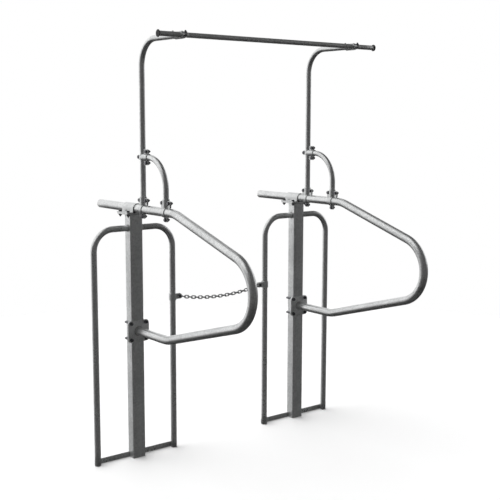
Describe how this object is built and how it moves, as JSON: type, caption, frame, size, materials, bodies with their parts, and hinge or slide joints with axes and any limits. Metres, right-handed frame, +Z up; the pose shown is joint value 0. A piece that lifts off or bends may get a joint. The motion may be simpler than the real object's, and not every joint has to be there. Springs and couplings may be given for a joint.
{
  "type": "cattle stall partition",
  "caption": "Galvanised tube stall partition: two looped dividers on box posts with neck hoops, bent uprights, an overhead rail and a neck chain.",
  "frame": {"origin": "centre of the left post's foot, on the floor", "axes": "+X along the row of stalls to the second divider, -Y into the stall where the divider loops point, +Z up"},
  "size_m": [1.745, 1.4697, 2.371],
  "materials": {
    "galvanised_tube": "hot-dip galvanised, light spangle",
    "galvanised_box": "hot-dip galvanised, dull spangle",
    "pressed_clamps": "galvanised pressings",
    "zinc_fasteners": "zinc plated",
    "chain_steel": "zinc plated round wire",
    "black_plastic": "matt black moulding"
  },
  "bodies": {
    "root": {"left_post": "galvanised_box", "left_post_cap": "galvanised_box", "left_saddle": "pressed_clamps", "left_saddle_bolts": "zinc_fasteners", "left_neck_hoop": "galvanised_tube", "left_foot_bar": "galvanised_tube", "left_divider": "galvanised_tube", "left_divider_plate": "pressed_clamps", "left_u_bolts": "zinc_fasteners", "left_upright": "galvanised_tube", "left_brace": "galvanised_tube", "left_upright_foot_clamp": "pressed_clamps", "left_upright_foot_bolts": "zinc_fasteners", "left_brace_foot_clamp": "pressed_clamps", "left_brace_foot_bolts": "zinc_fasteners", "left_brace_head_clamp": "pressed_clamps", "left_brace_head_bolts": "zinc_fasteners", "left_rail_clamp": "pressed_clamps", "left_rail_bolts": "zinc_fasteners", "left_chain_band": "pressed_clamps", "left_chain_pin": "zinc_fasteners", "right_post": "galvanised_box", "right_post_cap": "galvanised_box", "right_saddle": "pressed_clamps", "right_saddle_bolts": "zinc_fasteners", "right_neck_hoop": "galvanised_tube", "right_foot_bar": "galvanised_tube", "right_divider": "galvanised_tube", "right_divider_plate": "pressed_clamps", "right_u_bolts": "zinc_fasteners", "right_upright": "galvanised_tube", "right_brace": "galvanised_tube", "right_upright_foot_clamp": "pressed_clamps", "right_upright_foot_bolts": "zinc_fasteners", "right_brace_foot_clamp": "pressed_clamps", "right_brace_foot_bolts": "zinc_fasteners", "right_brace_head_clamp": "pressed_clamps", "right_brace_head_bolts": "zinc_fasteners", "right_rail_clamp": "pressed_clamps", "right_rail_bolts": "zinc_fasteners", "right_chain_band": "pressed_clamps", "right_chain_pin": "zinc_fasteners", "overhead_rail": "galvanised_tube", "rail_end_caps": "black_plastic", "neck_chain": "chain_steel"}
  },
  "joints": []
}
